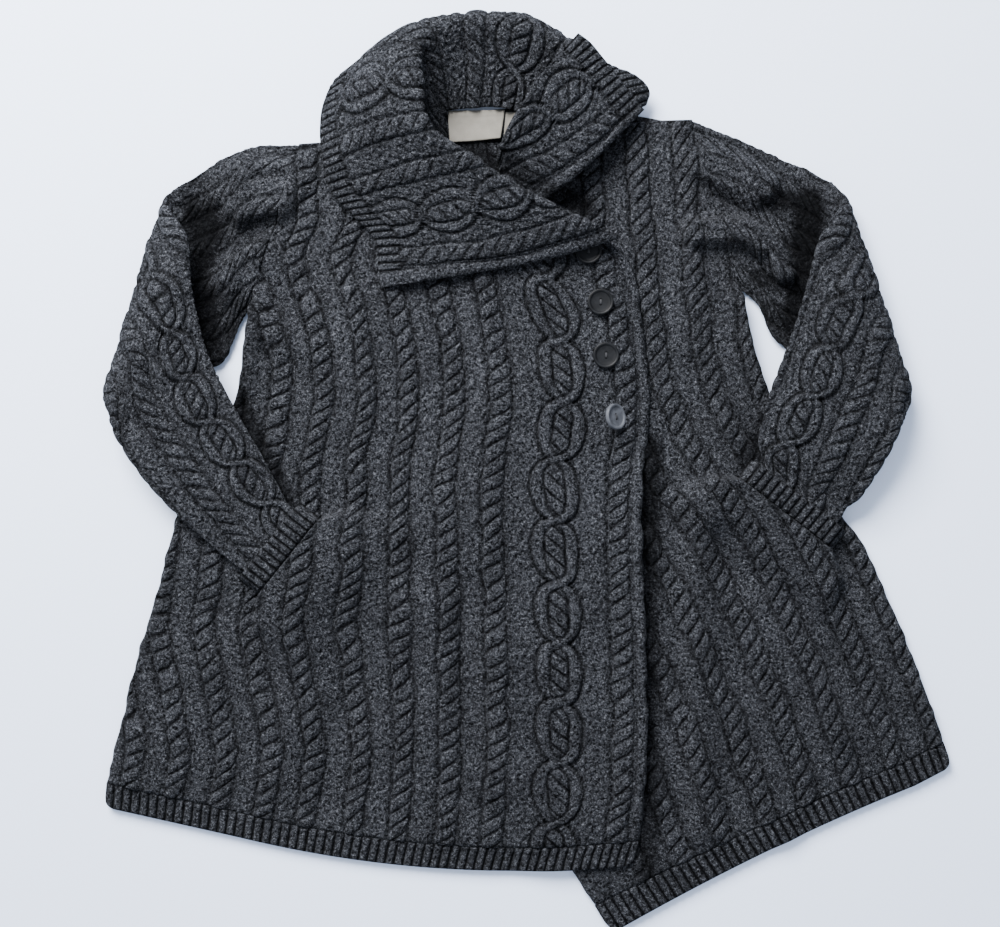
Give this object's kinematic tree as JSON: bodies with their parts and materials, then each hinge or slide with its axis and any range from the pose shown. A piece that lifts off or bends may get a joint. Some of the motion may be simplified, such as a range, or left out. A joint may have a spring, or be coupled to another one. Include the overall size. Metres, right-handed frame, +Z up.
{
  "type": "cable knit sweater coat lying flat",
  "caption": "Heathered charcoal cable knit coat lying flat on its back, buttoned, with a wide fold-over collar, ribbed hems and sleeve ends tucked into slanted welt pockets.",
  "frame": {"origin": "middle of the coat's box, on the surface it lies on", "axes": "+Z up from that surface, +Y towards the neck, +X towards the wearer's left side"},
  "size_m": [0.7854, 0.8487, 0.0591],
  "materials": {
    "cable_knit": "charcoal heather wool in cables, ovals and moss stitch",
    "rib_knit": "charcoal heather wool in a fine rib",
    "button": "dark grey matte button with a raised rim",
    "woven_label": "cream woven tape, blank"
  },
  "bodies": {
    "root": {"back_panel": "cable_knit", "hem_back": "rib_knit", "front_right": "cable_knit", "hem_front_right": "rib_knit", "front_left": "cable_knit", "hem_front_left": "rib_knit", "sleeve_right": "cable_knit", "sleeve_left": "cable_knit", "collar_right": "cable_knit", "collar_left": "cable_knit", "pocket_welt_right": "rib_knit", "pocket_welt_left": "rib_knit", "button_1": "button", "button_2": "button", "button_3": "button", "button_4": "button", "neck_label": "woven_label", "size_label": "woven_label"}
  },
  "joints": []
}
